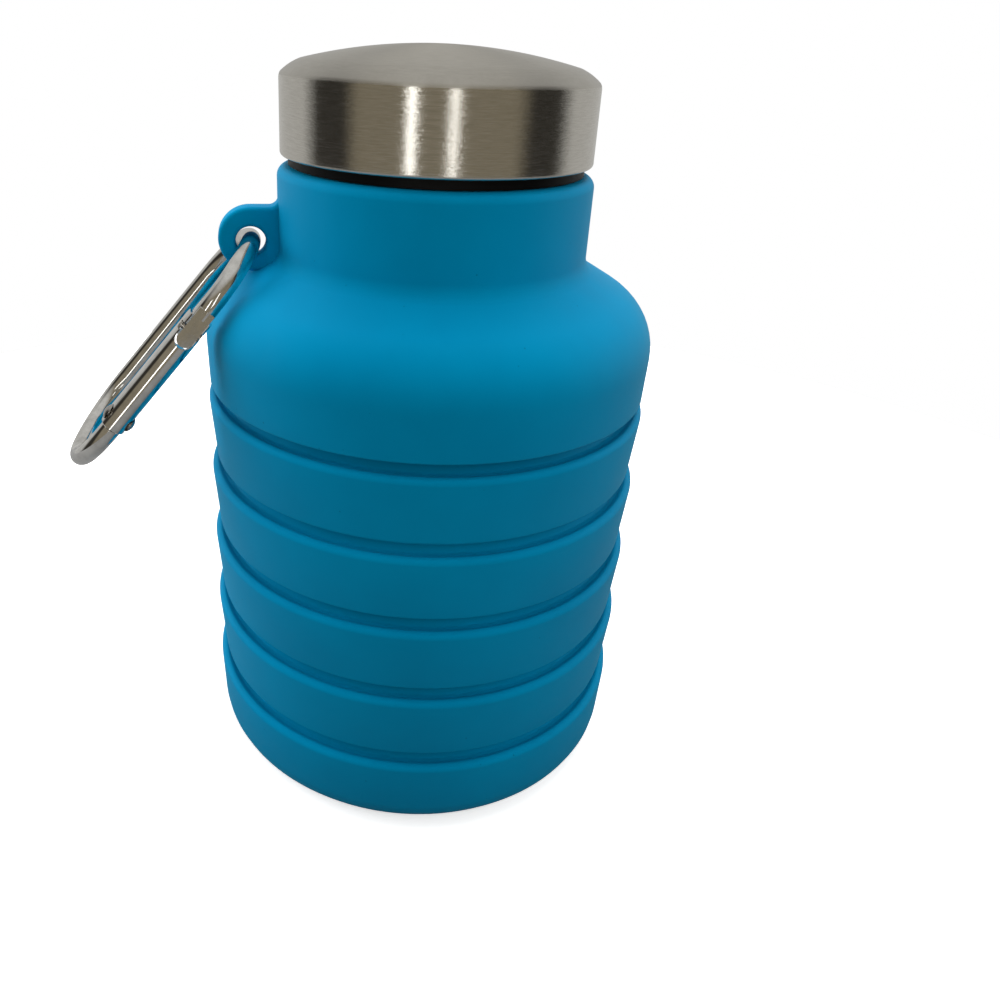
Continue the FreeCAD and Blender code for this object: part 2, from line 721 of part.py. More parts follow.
def add_gate_web(body):
    """Cross web that the spring pushes against."""
    web = new_sketch(body, "web", "XY_Plane", {"z": "Dim.web_low"})
    inner = "Dim.gate_inner_half"
    corners = [
        ("-Dim.web_reach", "-" + inner),
        ("0", "-" + inner),
        (inner, "0", inner, 1),
        ("0", inner, inner, 1),
        ("-Dim.web_reach", inner),
    ]
    draw_path(web, corners)
    pad(body, web, "Dim.web_thickness")


def make_gate():
    """Folded channel gate; its own origin is on the pivot, Z along the gate."""
    body = new_body("gate")
    add_gate_channel(body)
    add_gate_web(body)
    cheek = size("Dim.gate_cheek")
    wide = size("Dim.gate_half_width") + MARGIN
    for name, height in (("low_end", -size("Dim.gate_below")), ("high_end", size("Dim.gate_above"))):
        low = (-cheek - MARGIN, -wide, height - MARGIN)
        high = (-cheek + MARGIN, wide, height + MARGIN)
        round_edges(body, name, edges_inside(body.Shape, low, high), "Dim.gate_end_round")
    cut_gate(body)
    return body


def make_pivot_rivet():
    body = new_body("gate_pivot_rivet")
    grip = "Dim.rivet_grip / 2"
    end = "Dim.rivet_grip / 2 + Dim.rivet_head_height"
    head = "Dim.rivet_head_radius"
    crown = "Dim.rivet_head_radius ^ 2 / Dim.rivet_head_height / 2 + Dim.rivet_head_height / 2"
    corners = [
        ("0", "-(%s)" % end),
        (head, "-(%s)" % grip, crown, 1),
        ("Dim.rivet_radius", "-(%s)" % grip),
        ("Dim.rivet_radius", grip),
        (head, grip),
        ("0", end, crown, 1),
    ]
    revolve(body, "section", corners)
    return body


def make_nose_pin():
    pin = document.addObject("Part::Cylinder", "gate_nose_pin")
    pin.Label = "gate_nose_pin"
    pin.setExpression("Radius", "Dim.pin_radius")
    pin.setExpression("Height", "Dim.pin_length")
    document.recompute()
    return pin


def make_plunger():
    body = new_body("gate_plunger")
    corners = [
        ("0", "0"),
        ("Dim.plunger_radius", "0"),
        ("Dim.plunger_radius", "Dim.plunger_head"),
        ("Dim.plunger_stem_radius", "Dim.plunger_head"),
        ("Dim.plunger_stem_radius", "Dim.plunger_length"),
        ("0", "Dim.plunger_length"),
    ]
    revolve(body, "section", corners)
    return body


def make_spring():
    body = new_body("gate_spring")
    section = new_sketch(body, "wire", "XZ_Plane")
    draw_circle(section, "Dim.spring_radius", "Dim.spring_wire", "Dim.spring_wire")
    coil = body.newObject("PartDesign::AdditiveHelix", "gate_spring_coil")
    coil.Profile = (section, [""])
    coil.ReferenceAxis = (section, ["V_Axis"])
    coil.Mode = HELIX_BY_PITCH_AND_HEIGHT
    coil.setExpression("Pitch", "Dim.spring_pitch")
    coil.setExpression("Height", "Dim.spring_length")
    document.recompute()
    return body


def place_carabiner(parts):
    """Hang the loop in the ear hole; its X is toward the gate, its Z up the loop."""
    tilt = FreeCAD.Rotation(FreeCAD.Vector(0, 1, 0), size("Dim.carabiner_tilt"))
    turn = tilt * FreeCAD.Rotation(FreeCAD.Vector(0, 0, 1), -90)
    hole = FreeCAD.Vector(-size("Dim.ear_reach"), 0, first_fold + size("Dim.ear_height"))
    across = FreeCAD.Rotation(FreeCAD.Vector(1, 0, 0), 90)
    gate_x = size("Dim.loop_half_width")
    pivot_z = -size("Dim.pivot_drop")
    pin_x = gate_x + size("Dim.pin_offset")
    plunger_z = pivot_z + size("Dim.plunger_gap")
    spots = {
        "carabiner_frame": ((0, 0, 0), FreeCAD.Rotation()),
        "gate": ((gate_x, 0, pivot_z), FreeCAD.Rotation()),
        "gate_pivot_rivet": ((gate_x, 0, pivot_z), across),
        "gate_nose_pin": ((pin_x, size("Dim.pin_length") / 2, -size("Dim.pin_drop")), across),
        "gate_plunger": ((gate_x, 0, plunger_z), FreeCAD.Rotation()),
        "gate_spring": ((gate_x, 0, plunger_z + size("Dim.plunger_head")), FreeCAD.Rotation()),
    }
    for part in parts:
        spot, own_turn = spots[part.Label]
        shift = turn.multVec(FreeCAD.Vector(*spot))
        place(part, *(hole + shift), turn=turn * own_turn)


def check(parts):
    for item in document.Objects:
        if "Invalid" in item.State or "Error" in item.State:
            raise RuntimeError("%s: %s" % (item.Name, item.State))
    for part in parts:
        if part.Shape.isNull() or not part.Shape.isValid() or len(part.Shape.Solids) != 1:
            raise RuntimeError(part.Label + " is not one valid solid")


def write(parts):
    os.makedirs("parts", exist_ok=True)
    for part in parts:
        part.Shape.exportStep(os.path.join("parts", part.Label + ".step"))
        print("%-20s %10.1f mm3" % (part.Label, part.Shape.Volume))


first_fold = size("Dim.base_height + Dim.fold_pitch * %d" % RING_COUNT)
base_height = size("Dim.base_height")
pitch = size("Dim.fold_pitch")

upper = make_neck_and_shoulder()
place(upper, z=first_fold)
bottle = [make_base_cup(), upper]
for number in range(1, RING_COUNT + 1):
    bottle.append(place(make_ring(number), z=first_fold - pitch * number))
for number in range(1, FOLD_COUNT + 1):
    bottle.append(place(make_membrane(number), z=first_fold - pitch * (number - 1)))
lid = [
    place(make_neck_finish(), z=first_fold + size("Dim.insert_low")),
    place(make_lid_shell(), z=size("Dim.lid_low")),
    place(make_lid_liner(), z=size("Dim.liner_low")),
    place(make_lid_seal(), z=size("Dim.seal_low")),
]
carabiner = [make_carabiner_frame(), make_gate(), make_pivot_rivet(), make_nose_pin()]
carabiner += [make_plunger(), make_spring()]
place_carabiner(carabiner)
document.recompute()

everything = bottle + lid + carabiner
check(everything)
write(everything)
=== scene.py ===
import math

import bmesh
import bpy
from mathutils import Matrix, Vector


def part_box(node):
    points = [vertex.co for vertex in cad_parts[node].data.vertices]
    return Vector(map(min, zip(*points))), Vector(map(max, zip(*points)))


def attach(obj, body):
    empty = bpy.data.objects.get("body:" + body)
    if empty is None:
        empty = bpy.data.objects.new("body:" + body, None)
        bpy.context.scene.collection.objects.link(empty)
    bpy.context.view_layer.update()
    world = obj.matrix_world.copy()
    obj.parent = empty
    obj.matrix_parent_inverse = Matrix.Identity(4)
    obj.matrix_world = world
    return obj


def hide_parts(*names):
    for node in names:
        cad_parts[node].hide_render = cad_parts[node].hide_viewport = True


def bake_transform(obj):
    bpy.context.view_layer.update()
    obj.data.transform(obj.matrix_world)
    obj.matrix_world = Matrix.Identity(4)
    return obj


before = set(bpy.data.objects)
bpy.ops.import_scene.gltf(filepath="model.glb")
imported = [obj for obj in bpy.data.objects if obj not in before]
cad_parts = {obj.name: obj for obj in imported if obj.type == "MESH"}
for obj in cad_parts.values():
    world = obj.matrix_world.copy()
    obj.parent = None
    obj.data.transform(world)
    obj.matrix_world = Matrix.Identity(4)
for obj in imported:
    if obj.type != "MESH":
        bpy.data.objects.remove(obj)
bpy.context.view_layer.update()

# Folding silicone bottle with a brushed steel lid and a hanging carabiner.
# Outlines are in millimetres as (radius, height, rounding), turned about Z.

MM = 0.001
ROUND_STEPS = 6
BODY_SEGMENTS = 192
LID_SEGMENTS = 288
CREASE = math.radians(38)

RING_NUMBERS = (1, 2, 3, 4)
FOLD_BODIES = {1: ("ring_1", "upper"), 2: ("ring_2", "ring_1"), 3: ("ring_3", "ring_2"),
               4: ("ring_4", "ring_3"), 5: ("base", "ring_4")}

BAND_LOW_RADIUS = 36.5
BAND_TOP_RADIUS = 37.5
BAND_LOW_ROUND = 0.3
BAND_TOP_ROUND = 1.0
FOLD_SLOPE = 0.8
LIP_RADIUS = 36.1
BEAD_RADIUS = 28.0
WALL_INSIDE = 34.3
ROOT_RADIUS = 35.5
FOLD_GAP = 1.6
ROOF_DEPTH = 1.665
WEB_DEPTH = 1.153
# The rolled rim and the ledge behind it, above the roof's outer corner. The CAD roof has neither.
ROLL_RISE = 0.45
ROLL_DEPTH = 1.1
LEDGE_RISE = 0.3
LEDGE_START = 1.7

FOOT_RADIUS = 36.8
FOOT_ROUND = 5.0
FOOT_RING_RADIUS = 30.0
FOOT_BEVEL = 1.5
FOOT_RECESS = 0.8
FLOOR_TOP = 3.2
FLOOR_ROUND = 3.0

SHOULDER_RADIUS = 37.6
SHOULDER_LOW_RADIUS = 37.1
SHOULDER_CORNER = 13.46
SHOULDER_SLOPE = 0.57735
SHOULDER_ROUND = 10.5
SHOULDER_DEPTH = 3.23
SHOULDER_INNER_ROUND = 7.5


def low(node):
    """Lowest height of a CAD node, in millimetres."""
    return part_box(node)[0].z / MM


def high(node):
    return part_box(node)[1].z / MM


# ---- geometry helpers ----

def rounded(corners, steps=ROUND_STEPS):
    """Closed outline through the corners, each (radius, height, rounding) turned into an arc."""
    points = []
    for index, (across, up, rounding) in enumerate(corners):
        corner = Vector((across, up))
        if not rounding:
            points.append(corner)
            continue
        before = (Vector(corners[index - 1][:2]) - corner).normalized()
        after = (Vector(corners[(index + 1) % len(corners)][:2]) - corner).normalized()
        half = before.angle(after) / 2
        middle = corner + (before + after).normalized() * (rounding / math.sin(half))
        start = corner + before * (rounding / math.tan(half)) - middle
        turn = math.copysign(math.pi - 2 * half, before.cross(after)) * -1
        for step in range(steps + 1):
            points.append(middle + Matrix.Rotation(turn * step / steps, 2) @ start)
    return points


def finish_mesh(name, builder):
    """Object from a bmesh, welded, facing outward, smooth except at sharp creases."""
    bmesh.ops.remove_doubles(builder, verts=builder.verts, dist=0.002 * MM)
    bmesh.ops.recalc_face_normals(builder, faces=builder.faces)
    mesh = bpy.data.meshes.new(name)
    builder.to_mesh(mesh)
    builder.free()
    mesh.shade_smooth()
    mesh.set_sharp_from_angle(angle=CREASE)
    piece = bpy.data.objects.new(name, mesh)
    bpy.context.scene.collection.objects.link(piece)
    return piece


def lathe(name, outline, base=0.0, segments=BODY_SEGMENTS):
    """Turn a closed outline about Z; base lifts it, in millimetres."""
    builder = bmesh.new()
    rings = []
    for segment in range(segments):
        angle = 2 * math.pi * segment / segments
        side = Vector((math.cos(angle), math.sin(angle), 0))
        rings.append([builder.verts.new((side * point.x + Vector((0, 0, point.y + base))) * MM)
                      for point in outline])
    for segment in range(segments):
        here, there = rings[segment - 1], rings[segment]
        for index in range(len(outline)):
            face = (here[index - 1], here[index], there[index], there[index - 1])
            builder.faces.new(face)
    return finish_mesh(name, builder)


# ---- materials ----

def feed(tree, socket, value):
    """Link a socket to another, or set its value."""
    if isinstance(value, bpy.types.NodeSocket):
        tree.links.new(value, socket)
    else:
        socket.default_value = value


def add_node(tree, kind, inputs=None, **options):
    node = tree.nodes.new(kind)
    for option, value in options.items():
        setattr(node, option, value)
    for socket, value in (inputs or {}).items():
        feed(tree, node.inputs[socket], value)
    return node


class Shader:
    """A node material with its main surface node and a few helpers."""

    def __init__(self, name, **surface):
        self.material = bpy.data.materials.new(name)
        self.material.use_nodes = True
        self.tree = self.material.node_tree
        self.surface = self.tree.nodes["Principled BSDF"]
        for socket, value in surface.items():
            self.surface.inputs[socket.replace("_", " ")].default_value = value
        coordinates = self.add("ShaderNodeTexCoord").outputs
        self.place = coordinates["Object"]
        self.normal = coordinates["Normal"]

    def add(self, kind, inputs=None, **options):
        return add_node(self.tree, kind, inputs, **options)

    def math(self, operation, first, second=0.0):
        node = self.add("ShaderNodeMath", {0: first, 1: second}, operation=operation)
        return node.outputs[0]

    def noise(self, scale, detail=2.0, roughness=0.5, place=None):
        inputs = {"Vector": place or self.place, "Scale": scale, "Detail": detail,
                  "Roughness": roughness}
        return self.add("ShaderNodeTexNoise", inputs).outputs[0]

    def spread(self, value, start, end, first=0.0, last=1.0):
        """Remap value from start..end to first..last, held inside that range."""
        inputs = {"Value": value, "From Min": start, "From Max": end, "To Min": first, "To Max": last}
        return self.add("ShaderNodeMapRange", inputs).outputs[0]

    def mix(self, share, first, second):
        node = self.add("ShaderNodeMix", data_type="RGBA", blend_type="MIX")
        feed(self.tree, node.inputs[0], share)
        feed(self.tree, node.inputs[6], first)
        feed(self.tree, node.inputs[7], second)
        return node.outputs[2]

    def bump(self, height, distance, strength=1.0, before=None):
        inputs = {"Height": height, "Distance": distance, "Strength": strength}
        if before:
            inputs["Normal"] = before
        return self.add("ShaderNodeBump", inputs).outputs[0]

    def set(self, **sockets):
        for socket, value in sockets.items():
            feed(self.tree, self.surface.inputs[socket.replace("_", " ")], value)

    def around(self, turns, lines):
        """Coordinates that change slowly round Z and quickly along a section."""
        parts = self.add("ShaderNodeSeparateXYZ", {0: self.place}).outputs
        flat = self.add("ShaderNodeVectorMath", {0: self.place, 1: (1, 1, 0)}, operation="MULTIPLY")
        reach = self.add("ShaderNodeVectorMath", {0: flat.outputs[0]}, operation="LENGTH")
        side = self.add("ShaderNodeVectorMath", {0: flat.outputs[0]}, operation="NORMALIZE")
        sides = self.add("ShaderNodeSeparateXYZ", {0: side.outputs[0]}).outputs
        along = self.math("ADD", parts[2], reach.outputs["Value"])
        joined = self.add("ShaderNodeCombineXYZ", {
            0: self.math("MULTIPLY", sides[0], turns),
            1: self.math("MULTIPLY", sides[1], turns),
            2: self.math("MULTIPLY", along, lines)})
        return joined.outputs[0]


def silicone():
    """Matte moulded silicone: soft cloudy colour, fine dust and a satin mould grain."""
    look = Shader("silicone_blue", Roughness=0.52, IOR=1.41, Specular_IOR_Level=0.18,
                  Specular_Tint=(0.0, 0.75, 1.0, 1.0), Sheen_Weight=0.10,
                  Sheen_Roughness=0.35, Sheen_Tint=(0.05, 0.75, 1.0, 1.0))
    cloud = look.noise(38.0, 3.0, 0.6)
    colour = look.mix(look.spread(cloud, 0.35, 0.65), (0.0, 0.236, 0.462, 1), (0.0, 0.264, 0.508, 1))
    dust = look.add("ShaderNodeTexVoronoi", {"Vector": look.place, "Scale": 420.0})
    speck = look.spread(dust.outputs["Distance"], 0.045, 0.075, 1.0, 0.0)
    patchy = look.math("MULTIPLY", speck, look.spread(look.noise(150.0), 0.56, 0.62))
    colour = look.mix(look.math("MULTIPLY", patchy, 0.5), colour, (0.0, 0.07, 0.17, 1))
    grain = look.noise(5200.0, 2.0)
    wave = look.bump(look.noise(95.0, 2.0), 0.00012, 0.5)
    look.set(Base_Color=colour, Roughness=look.spread(cloud, 0.3, 0.7, 0.47, 0.57),
             Normal=look.bump(grain, 0.00002, 0.35, wave))
    return look.material


def brushed_steel():
    """Stainless steel brushed round the axis: a bright wall and a duller dome."""
    look = Shader("brushed_steel", Metallic=1.0, Roughness=0.28, Anisotropic=0.9,
                  Anisotropic_Rotation=0.25)
    fine = look.noise(1.0, 3.0, 0.7, look.around(9.0, 5200.0))
    strokes = look.noise(1.0, 3.0, 0.65, look.around(15.0, 3300.0))
    facing = look.add("ShaderNodeSeparateXYZ", {0: look.normal}).outputs[2]
    dome = look.spread(facing, 0.2, 0.3)
    colour = look.mix(look.spread(fine, 0.2, 0.8), (0.54, 0.52, 0.47, 1), (0.69, 0.67, 0.62, 1))
    grooves = look.math("ADD", strokes, look.math("MULTIPLY", fine, 0.4))
    tangent = look.add("ShaderNodeTangent", direction_type="RADIAL", axis="Z").outputs[0]
    wall_rough = look.spread(fine, 0.3, 0.7, 0.17, 0.24)
    rough = look.math("ADD", wall_rough, look.math("MULTIPLY", dome, 0.2))
    look.set(Base_Color=colour, Roughness=rough, Normal=look.bump(grooves, 0.00005, 0.55),
             Tangent=tangent)
    return look.material


def polished_plate(name, tint, roughness):
    """Bright nickel plate with faint handling scratches and dull patches."""
    look = Shader(name, Metallic=1.0, Roughness=roughness)
    haze = look.noise(420.0, 4.0, 0.65)
    stretched = look.add("ShaderNodeMapping", {"Vector": look.place, "Scale": (1.0, 5.0, 0.6)})
    scratches = look.noise(1400.0, 3.0, 0.8, stretched.outputs[0])
    worn = tuple(part * 0.72 for part in tint)
    colour = look.mix(look.spread(haze, 0.35, 0.75), (*tint, 1), (*worn, 1))
    look.set(Base_Color=colour, Roughness=look.spread(haze, 0.35, 0.75, roughness * 0.6, roughness * 1.8),
             Normal=look.bump(scratches, 0.000012, 0.25))
    return look.material


def moulded_plastic(name, dark, light):
    """Hard moulded plastic with a fine spark-eroded grain."""
    look = Shader(name, Roughness=0.42, IOR=1.49, Specular_IOR_Level=0.08)
    grain = look.noise(2600.0, 2.0)
    cloud = look.noise(60.0, 2.0)
    look.set(Base_Color=look.mix(look.spread(cloud, 0.35, 0.65), (*dark, 1), (*light, 1)),
             Roughness=look.spread(grain, 0.3, 0.7, 0.36, 0.5),
             Normal=look.bump(grain, 0.00003, 0.3))
    return look.material


def milky_silicone():
    look = Shader("milky_silicone", Roughness=0.5, IOR=1.41, Subsurface_Weight=0.15,
                  Subsurface_Scale=0.001)
    cloud = look.noise(160.0, 2.0)
    look.set(Base_Color=look.mix(cloud, (0.62, 0.63, 0.62, 1), (0.74, 0.74, 0.72, 1)),
             Normal=look.bump(look.noise(3000.0), 0.00002, 0.3))
    return look.material


def dress(piece, material):
    """Give a piece one material in every slot."""
    piece.data.materials.clear()
    piece.data.materials.append(material)


# ---- silicone body ----

def fold_height(radius, top=0.0, drop=0.0):
    """Height on a folded cone, drop below the cone that meets the lip."""
    return top - drop + (LIP_RADIUS - radius) * FOLD_SLOPE


def band_and_roof(top):
    """Corners from a band's rolled edge over its ledge, roof and bead to the wall inside."""
    bead_in = BEAD_RADIUS - 1.12
    under = FOLD_GAP + ROOF_DEPTH
    edge = fold_height(BAND_TOP_RADIUS, top, FOLD_GAP)
    ledge_in = ROOT_RADIUS - 1.3
    return [
        (BAND_TOP_RADIUS, edge + ROLL_RISE, BAND_TOP_ROUND),
        (BAND_TOP_RADIUS - ROLL_DEPTH, edge + ROLL_RISE + 0.1, 0.6),
        (BAND_TOP_RADIUS - LEDGE_START, edge + LEDGE_RISE, 0.4),
        (ROOT_RADIUS - 0.4, edge + LEDGE_RISE + 0.1, 0.4),
        (ledge_in, fold_height(ledge_in, top, FOLD_GAP), 0.4),
        (BEAD_RADIUS, fold_height(BEAD_RADIUS, top, FOLD_GAP), 0.25),
        (BEAD_RADIUS, fold_height(BEAD_RADIUS, top), 0),
        (bead_in, fold_height(BEAD_RADIUS, top, 0.55), 1.0),
        (bead_in, fold_height(BEAD_RADIUS, top, 2.75), 1.0),
        (BEAD_RADIUS, fold_height(BEAD_RADIUS, top, under), 0),
        (WALL_INSIDE, fold_height(WALL_INSIDE, top, under), 1.0),
    ]


def under_face():
    """Corners under a band: from the wall inside out to its lip."""
    return [(WALL_INSIDE, fold_height(WALL_INSIDE), 0.3), (LIP_RADIUS, 0, 0)]


def make_rings(material):
    pitch = low("bellows_ring_1") - low("bellows_ring_2")
    outline = rounded([(BAND_LOW_RADIUS, 0, BAND_LOW_ROUND)] + band_and_roof(pitch) + under_face())
    for number in RING_NUMBERS:
        node = "bellows_ring_%d" % number
        piece = lathe("silicone_ring_%d" % number, outline, low(node))
        dress(piece, material)
        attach(piece, "ring_%d" % number)
        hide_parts(node)


def make_base(material):
    top = low("bellows_ring_4")
    corners = [(0, FOOT_RECESS, 0), (FOOT_RING_RADIUS - FOOT_BEVEL, FOOT_RECESS, 0.4),
               (FOOT_RING_RADIUS, 0, 0.4), (FOOT_RADIUS, 0, FOOT_ROUND)]
    corners += band_and_roof(top)
    corners += [(WALL_INSIDE, FLOOR_TOP, FLOOR_ROUND), (0, FLOOR_TOP, 0)]
    piece = lathe("silicone_base", rounded(corners))
    dress(piece, material)
    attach(piece, "base")
    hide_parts("base_cup")


def make_webs(material):
    """Thin webs between the folds, lathed in place: bead end below, root above."""
    cuts = 16
    for number, (lower, upper) in FOLD_BODIES.items():
        node = "fold_membrane_%d" % number
        edge = high(node) - fold_height(BEAD_RADIUS)
        radii = [BEAD_RADIUS + (ROOT_RADIUS - BEAD_RADIUS) * cut / cuts for cut in range(cuts + 1)]
        outline = [Vector((radius, fold_height(radius, drop=WEB_DEPTH))) for radius in reversed(radii)]
        outline += [Vector((radius, fold_height(radius))) for radius in radii]
        piece = lathe("silicone_web_%d" % number, outline, edge)
        dress(piece, material)
        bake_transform(piece)
        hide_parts(node)


def shoulder_height(radius, drop=0.0):
    """Height of the shoulder's cone, or of its inner face drop below."""
    return SHOULDER_CORNER - drop + (SHOULDER_RADIUS - radius) * SHOULDER_SLOPE


def make_ear(bottom):
    """Flat lug with rounded rims and a hole, in the XZ plane, its root inside the neck."""
    reach = 29.7
    centre = 23.5
    radius = 5.1
    thickness = 3.8
    rim = 0.7
    hole_radius = 2.4
    hole_drop = 0.4
    hole_steps = 48
    root = 25.2
    root_depth = 1.5
    root_rise = 3
    root_round = 1.5
    top = centre + radius
    under = centre - radius
    tip = reach + radius
    corners = [(-root + root_depth, top + root_rise, 0), (-root, top + root_rise, 0),
               (-root, top, root_round), (-tip, top, radius), (-tip, under, radius),
               (-root + root_depth, under, 0)]
    turns = [2 * math.pi * step / hole_steps for step in range(hole_steps)]
    hole = [Vector((-reach + hole_radius * math.cos(turn),
                    centre - hole_drop + hole_radius * math.sin(turn)))
            for turn in turns]
    curve = bpy.data.curves.new("ear", "CURVE")
    curve.dimensions = "2D"
    curve.fill_mode = "BOTH"
    curve.extrude = (thickness / 2 - rim) * MM
    curve.bevel_depth = rim * MM
    curve.bevel_resolution = 4
    curve.offset = -rim * MM
    for points in (rounded(corners, 14), hole):
        spline = curve.splines.new("POLY")
        spline.points.add(len(points) - 1)
        for spot, point in zip(spline.points, points):
            spot.co = (point.x * MM, point.y * MM, 0, 1)
        spline.use_cyclic_u = True
    holder = bpy.data.objects.new("ear", curve)
    bpy.context.scene.collection.objects.link(holder)
    graph = bpy.context.evaluated_depsgraph_get()
    mesh = bpy.data.meshes.new_from_object(holder.evaluated_get(graph))
    bpy.data.objects.remove(holder)
    mesh.transform(Matrix.Translation((0, 0, bottom * MM)) @ Matrix.Rotation(math.pi / 2, 4, "X"))
    builder = bmesh.new()
    builder.from_mesh(mesh)
    return finish_mesh("ear", builder)


def make_neck(material):
    """Shoulder and neck in one moulding, with the hanging ear grown out of the neck."""
    node = "neck_and_shoulder"
    bottom = low(node)
    lip = 34.8
    neck = 25.35
    bore = 21.3
    flange = 22.9
    flange_low = 22.4
    flange_high = 24.4
    corners = [(SHOULDER_LOW_RADIUS, 0, BAND_LOW_ROUND),
               (SHOULDER_RADIUS, SHOULDER_CORNER, SHOULDER_ROUND),
               (neck, shoulder_height(neck), 3.0), (neck, lip, 1.6), (bore, lip, 0.5),
               (bore, flange_high, 0), (flange, flange_high, 0), (flange, flange_low, 0),
               (bore, flange_low, 0), (bore, shoulder_height(bore, SHOULDER_DEPTH), 0),
               (WALL_INSIDE, shoulder_height(WALL_INSIDE, SHOULDER_DEPTH), SHOULDER_INNER_ROUND)]
    piece = lathe("silicone_neck", rounded(corners + under_face(), 10), bottom)
    ear = make_ear(bottom)
    union = piece.modifiers.new("ear", "BOOLEAN")
    union.operation = "UNION"
    union.solver = "EXACT"
    union.object = ear
    graph = bpy.context.evaluated_depsgraph_get()
    joined = bpy.data.meshes.new_from_object(piece.evaluated_get(graph))
    piece.modifiers.clear()
    piece.data = joined
    joined.shade_smooth()
    joined.set_sharp_from_angle(angle=CREASE)
    bpy.data.objects.remove(ear)
    dress(piece, material)
    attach(piece, "upper")
    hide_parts(node)


# ---- lid ----

def arc_points(start, end, radius, steps):
    """Points of the shorter arc between two points, bulging upward."""
    chord = end - start
    rise = math.sqrt(radius ** 2 - (chord.length / 2) ** 2)
    normal = Vector((-chord.y, chord.x)).normalized()
    if normal.y > 0:
        normal = -normal
    middle = (start + end) / 2 + normal * rise
    first = start - middle
    turn = first.angle_signed(end - middle)
    return [middle + Matrix.Rotation(-turn * step / steps, 2) @ first for step in range(steps + 1)]


def make_lid(material):
    """Pressed cap: rolled lower hem, straight wall, crease, sloped edge and a low dome."""
    bottom, top = low("lid_shell"), high("lid_shell")
    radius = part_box("lid_shell")[1].x / MM
    height = top - bottom
    sheet = 0.5
    wall = 12.0
    bend = 9.0
    dome = 85.0
    crown_radius = 21.5
    crease_drop = 0.7
    crease_parts = (0, 0.15, 0.3, 0.45, 0.6, 0.75, 0.9)
    inside = radius - sheet
    crown_spot = Vector((crown_radius, height - dome + math.sqrt(dome ** 2 - crown_radius ** 2)))
    wall_top = Vector((radius, wall))
    outer = rounded([(inside, 0, 0), (radius, 0.0, 0.55), (radius, 1.2, 0)])[1:]
    edge = arc_points(wall_top, crown_spot, bend, 16)
    crease_low = wall_top - Vector((0, crease_drop))
    crease_high = edge[2]
    crease = [crease_low.lerp(wall_top, part).lerp(wall_top.lerp(crease_high, part), part)
              for part in crease_parts]
    edge = [crease_low - Vector((0, 0.15))] + crease + edge[2:]
    crown = arc_points(crown_spot, Vector((0, height)), dome, 24)[1:]
    ceiling = [Vector((0, height - sheet)), crown_spot - Vector((sheet, sheet)),
               Vector((inside, wall - sheet))]
    hem = [Vector((inside, 1.1)), Vector((inside - 0.25, 0.95)), Vector((inside - 0.4, 0.5)),
           Vector((inside - 0.25, 0.08))]
    piece = lathe("lid_cap", outer + edge + crown + ceiling + hem, bottom, LID_SEGMENTS)
    dress(piece, material)
    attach(piece, "lid")
    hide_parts("lid_shell")


# ---- stage ----

CAMERA_PLACE = Vector((-0.03072, -0.13857, 0.12157))
CAMERA_HEADING = math.radians(11.12)
CAMERA_PITCH = math.radians(22.08)
CAMERA_ROLL = math.radians(2.252)
CAMERA_SIDE = math.radians(-12.5)

FLOOR_RADIUS = 0.24
FLOOR_GAP = 0.0001
STRIP_DISTANCE = 0.4
STRIP_HEIGHT = 0.11

# Plain studio: a dim warm wall behind the camera, a dark card at each side, a pale wall facing it.
# Each tone is given with its angle from the camera's side, in degrees.
FRONT_WALL = (0.24, 0.21, 0.155, 1)
SIDE_CARD = (0.035, 0.032, 0.027, 1)
BACK_WALL = (0.52, 0.515, 0.50, 1)
CEILING = (0.60, 0.595, 0.58, 1)
WALLS = ((0, FRONT_WALL), (56, FRONT_WALL), (68, SIDE_CARD), (92, SIDE_CARD), (108, BACK_WALL))


def add_camera():
    data = bpy.data.cameras.new("camera")
    data.sensor_width = 36.0
    data.lens = 30.95
    data.shift_x = 0.0944
    data.shift_y = -0.1133
    data.clip_start = 0.002
    camera = bpy.data.objects.new("camera", data)
    bpy.context.scene.collection.objects.link(camera)
    turn = Matrix.Rotation(-CAMERA_HEADING, 4, "Z")
    turn = turn @ Matrix.Rotation(math.pi / 2 - CAMERA_PITCH, 4, "X")
    turn = turn @ Matrix.Rotation(CAMERA_ROLL, 4, "Z")
    camera.matrix_world = Matrix.Translation(CAMERA_PLACE) @ turn
    bpy.context.scene.camera = camera


def add_floor():
    builder = bmesh.new()
    bmesh.ops.create_circle(builder, cap_ends=True, segments=96, radius=FLOOR_RADIUS)
    floor = finish_mesh("floor", builder)
    floor.location.z = -FLOOR_GAP
    look = Shader("pale_floor", Roughness=0.9, Specular_IOR_Level=0.0, Emission_Color=(1, 1, 1, 1))
    cloud = look.noise(9.0, 3.0)
    seen = look.add("ShaderNodeLightPath").outputs["Is Camera Ray"]
    pale = look.mix(cloud, (0.93, 0.93, 0.93, 1), (0.96, 0.96, 0.96, 1))
    look.set(Base_Color=look.mix(seen, (0.22, 0.22, 0.22, 1), pale),
             Emission_Strength=look.math("MULTIPLY", seen, 0.6))
    dress(floor, look.material)


def add_softbox(name, place, size, power, target=(0, 0, 0.06), mirrored=False):
    data = bpy.data.lights.new(name, "AREA")
    data.shape = "RECTANGLE"
    data.size, data.size_y = size
    data.energy = power
    light = bpy.data.objects.new(name, data)
    bpy.context.scene.collection.objects.link(light)
    place = Vector(place)
    aim = (Vector(target) - place).to_track_quat("-Z", "Y")
    light.matrix_world = Matrix.Translation(place) @ aim.to_matrix().to_4x4()
    light.visible_camera = False
    light.visible_glossy = mirrored


